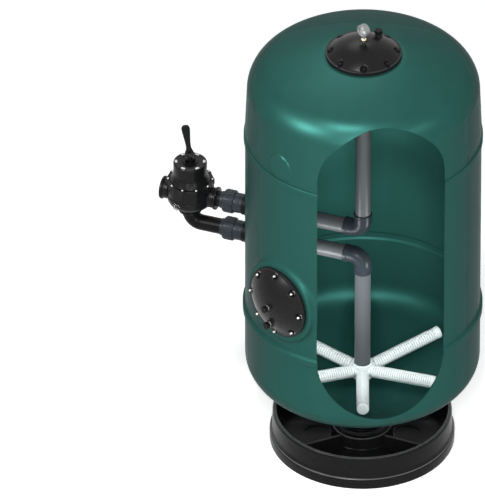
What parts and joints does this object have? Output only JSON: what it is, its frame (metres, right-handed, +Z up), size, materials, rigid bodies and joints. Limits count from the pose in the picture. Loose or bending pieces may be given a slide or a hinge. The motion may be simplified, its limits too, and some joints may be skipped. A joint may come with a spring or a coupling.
{
  "type": "media filter",
  "caption": "Tall green resin filter tank on a round black stand, with bolted covers, a cut viewing window, inner pipework with slotted laterals, and a side-mounted multiport valve.",
  "frame": {"origin": "tank axis on the floor, at the underside of the stand", "axes": "+Z up the tank axis; the viewing window faces -Y, ten degrees to +X; the valve stands toward -X and +Y"},
  "size_m": [1.2704, 0.9307, 1.9627],
  "materials": {
    "tank_shell": "glossy moulded resin shell with faint long streaks",
    "stand_black": "moulded, satin",
    "cover_black": "semi-gloss moulding",
    "rubber_black": "matt seal ring",
    "stud_steel": "turned",
    "washer_steel": "plain",
    "nut_black": "moulded",
    "gauge_brass": "pale turned fitting",
    "gauge_case": "light grey enamel",
    "dial_white": "white card with ticks",
    "pointer_black": "black needle",
    "clear": "clear",
    "knob_black": "moulded",
    "union_slate": "dark slate solvent-weld fitting",
    "pipe_black": "black pipe",
    "pipe_grey": "grey-brown pipe",
    "valve_black": "black moulding",
    "rotor_pale": "moulded",
    "gasket_pale": "pale seal",
    "pad_white": "blank pad",
    "collector_white": "white, slotted"
  },
  "bodies": {
    "vessel": {"base_stand": "stand_black", "support_collar": "stand_black", "tank_bottom_dish": "tank_shell", "tank_wall": "tank_shell", "tank_top_dome": "tank_shell", "top_cover": "cover_black", "top_cover_oring": "rubber_black", "top_cover_studs": "stud_steel", "top_cover_nuts": "nut_black", "gauge_stem": "gauge_brass", "gauge_case": "gauge_case", "gauge_dial": "dial_white", "gauge_lens": "clear", "air_bleed_oring": "rubber_black", "manhole_cover": "cover_black", "manhole_oring": "rubber_black", "manhole_studs": "stud_steel", "manhole_washers": "washer_steel", "manhole_nuts": "nut_black", "cover_plug_orings": "gasket_pale", "bulkhead_upper": "knob_black", "bulkhead_lower": "knob_black", "bulkhead_nuts": "knob_black", "coupling_upper": "union_slate", "coupling_lower": "union_slate", "coupling_orings": "rubber_black", "union_orings": "rubber_black", "union_tail_upper": "union_slate", "union_tail_lower": "union_slate", "stub_pipe": "pipe_black", "elbow_pipe": "pipe_black", "valve_body": "valve_black", "valve_gasket": "gasket_pale", "valve_cover": "valve_black", "valve_cover_screws": "stud_steel", "position_pads": "pad_white", "sight_glass": "clear", "inner_pipe_upper": "pipe_grey", "inner_pipe_lower": "pipe_grey", "inner_elbow_upper": "union_slate", "inner_elbow_lower": "union_slate", "riser_pipe": "pipe_grey", "top_diffuser": "collector_white", "down_pipe": "pipe_grey", "collector_hub": "collector_white", "laterals": "collector_white", "drain_body": "knob_black"},
    "indexer": {"valve_rotor": "rotor_pale", "valve_spring": "stud_steel", "thrust_washer": "stud_steel"},
    "handle": {"valve_handle": "valve_black", "handle_pin": "stud_steel"},
    "nut_upper": {"union_nut_upper": "union_slate"},
    "nut_lower": {"union_nut_lower": "union_slate"},
    "bleed_knob": {"air_bleed_plug": "knob_black"},
    "plug_centre": {"cover_plug_centre": "knob_black"},
    "plug_lower": {"cover_plug_lower": "knob_black"},
    "drain_knob": {"drain_cap": "knob_black"},
    "needle": {"gauge_pointer": "pointer_black"}
  },
  "joints": [
    {"name": "valve_index", "type": "hinge", "parent": "vessel", "child": "indexer", "pos_m": [-0.67564, 0.24591, 1.043], "axis": [0, 0, 1], "continuous": true},
    {"name": "handle_press", "type": "hinge", "parent": "indexer", "child": "handle", "pos_m": [-0.67564, 0.24591, 1.1606], "axis": [-0.9903, -0.1392, 0], "range_deg": [0, 15], "stiffness_Nm_per_rad": 2, "springref_deg": -14.32},
    {"name": "union_nut_upper_turn", "type": "hinge", "parent": "vessel", "child": "nut_upper", "pos_m": [-0.52247, 0.19016, 0.993], "axis": [-0.9397, 0.342, 0], "continuous": true},
    {"name": "union_nut_lower_turn", "type": "hinge", "parent": "vessel", "child": "nut_lower", "pos_m": [-0.52247, 0.19016, 0.863], "axis": [-0.9397, 0.342, 0], "continuous": true},
    {"name": "air_bleed_turn", "type": "hinge", "parent": "vessel", "child": "bleed_knob", "pos_m": [0.05798, 0.05798, 1.87664], "axis": [0, 0, 1], "continuous": true},
    {"name": "cover_plug_centre_turn", "type": "hinge", "parent": "vessel", "child": "plug_centre", "pos_m": [-0.32881, -0.32881, 0.879], "axis": [-0.7071, -0.7071, 0], "continuous": true},
    {"name": "cover_plug_lower_turn", "type": "hinge", "parent": "vessel", "child": "plug_lower", "pos_m": [-0.32881, -0.32881, 0.797], "axis": [-0.7071, -0.7071, 0], "continuous": true},
    {"name": "drain_cap_turn", "type": "hinge", "parent": "vessel", "child": "drain_knob", "pos_m": [-0.16713, -0.16713, 0.22528], "axis": [-0.4639, -0.4639, -0.7547], "continuous": true},
    {"name": "gauge_needle", "type": "hinge", "parent": "vessel", "child": "needle", "pos_m": [0, 0, 1.9372], "axis": [-0.7071, -0.7071, 0], "range_deg": [-270, 0], "stiffness_Nm_per_rad": 0.0005, "springref_deg": 22.92}
  ]
}
